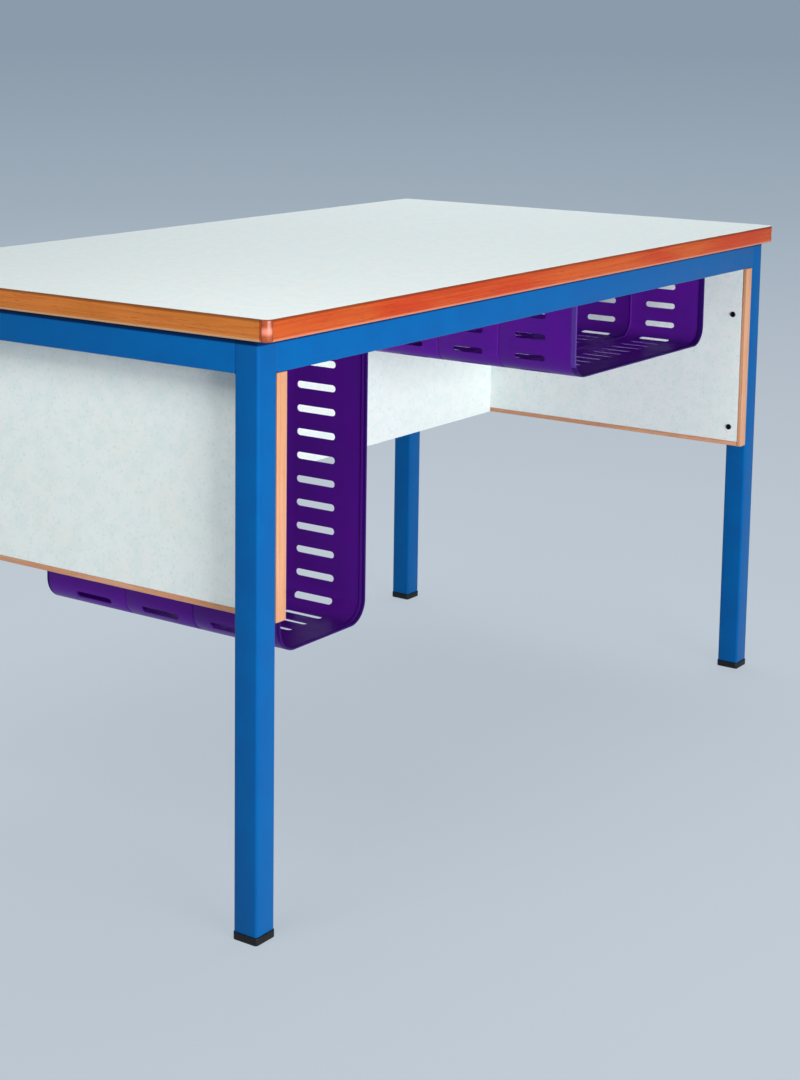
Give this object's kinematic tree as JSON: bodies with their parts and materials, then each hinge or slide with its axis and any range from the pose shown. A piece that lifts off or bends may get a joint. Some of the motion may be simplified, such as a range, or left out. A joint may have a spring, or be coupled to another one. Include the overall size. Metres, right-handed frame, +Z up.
{
  "type": "teacher desk",
  "caption": "Rectangular desk with a wood-edged laminate worktop, square-tube frame, board side and modesty panels, and two open slotted sheet-metal lockers under the top.",
  "frame": {"origin": "centre of the floor area under the desk", "axes": "+X along the desk's length, from the tall locker's end to the other; +Y from the user's side to the far side; +Z up"},
  "size_m": [1.35, 0.73, 0.75],
  "materials": {
    "laminate": "fine fleck, satin",
    "board": "white melamine, satin",
    "lipping": "varnished",
    "panel_strip": "varnished",
    "frame": "satin powder coat",
    "foot_cap": "matt",
    "zinc": "zinc plated",
    "black_screw": "blackened",
    "locker": "satin powder coat"
  },
  "bodies": {
    "root": {"worktop_laminate": "laminate", "worktop_core": "board", "side_panel_left": "board", "side_panel_right": "board", "modesty_panel": "board", "lipping_front": "lipping", "lipping_back": "lipping", "lipping_left": "lipping", "lipping_right": "lipping", "side_panel_left_strip_front": "panel_strip", "side_panel_left_strip_back": "panel_strip", "side_panel_left_strip_bottom": "panel_strip", "side_panel_right_strip_front": "panel_strip", "side_panel_right_strip_back": "panel_strip", "side_panel_right_strip_bottom": "panel_strip", "rail_left": "frame", "rail_right": "frame", "rail_front": "frame", "leg_front_left": "frame", "leg_front_right": "frame", "rail_back": "frame", "leg_back_left": "frame", "leg_back_right": "frame", "foot_cap_front_left": "foot_cap", "foot_cap_front_right": "foot_cap", "foot_cap_back_left": "foot_cap", "foot_cap_back_right": "foot_cap", "rail_screw_front_left": "zinc", "rail_screw_front_right": "zinc", "rail_screw_back_left": "zinc", "rail_screw_back_right": "zinc", "modesty_angle_left": "zinc", "angle_screw_panel_left_low": "zinc", "angle_screw_panel_left_high": "zinc", "angle_screw_board_left_low": "zinc", "angle_screw_board_left_high": "zinc", "modesty_angle_right": "zinc", "angle_screw_panel_right_low": "zinc", "angle_screw_panel_right_high": "zinc", "angle_screw_board_right_low": "zinc", "angle_screw_board_right_high": "zinc", "tall_locker_screw_1": "zinc", "tall_locker_screw_2": "zinc", "tall_locker_screw_3": "zinc", "shallow_locker_screw_1": "zinc", "shallow_locker_screw_2": "zinc", "shallow_locker_screw_3": "zinc", "shallow_locker_screw_4": "zinc", "panel_screw_front_left_low": "black_screw", "panel_screw_front_left_high": "black_screw", "panel_screw_front_right_low": "black_screw", "panel_screw_front_right_high": "black_screw", "panel_screw_back_left_low": "black_screw", "panel_screw_back_left_high": "black_screw", "panel_screw_back_right_low": "black_screw", "panel_screw_back_right_high": "black_screw", "tall_locker": "locker", "tall_locker_back": "locker", "shallow_locker": "locker", "shallow_locker_back": "locker"}
  },
  "joints": []
}
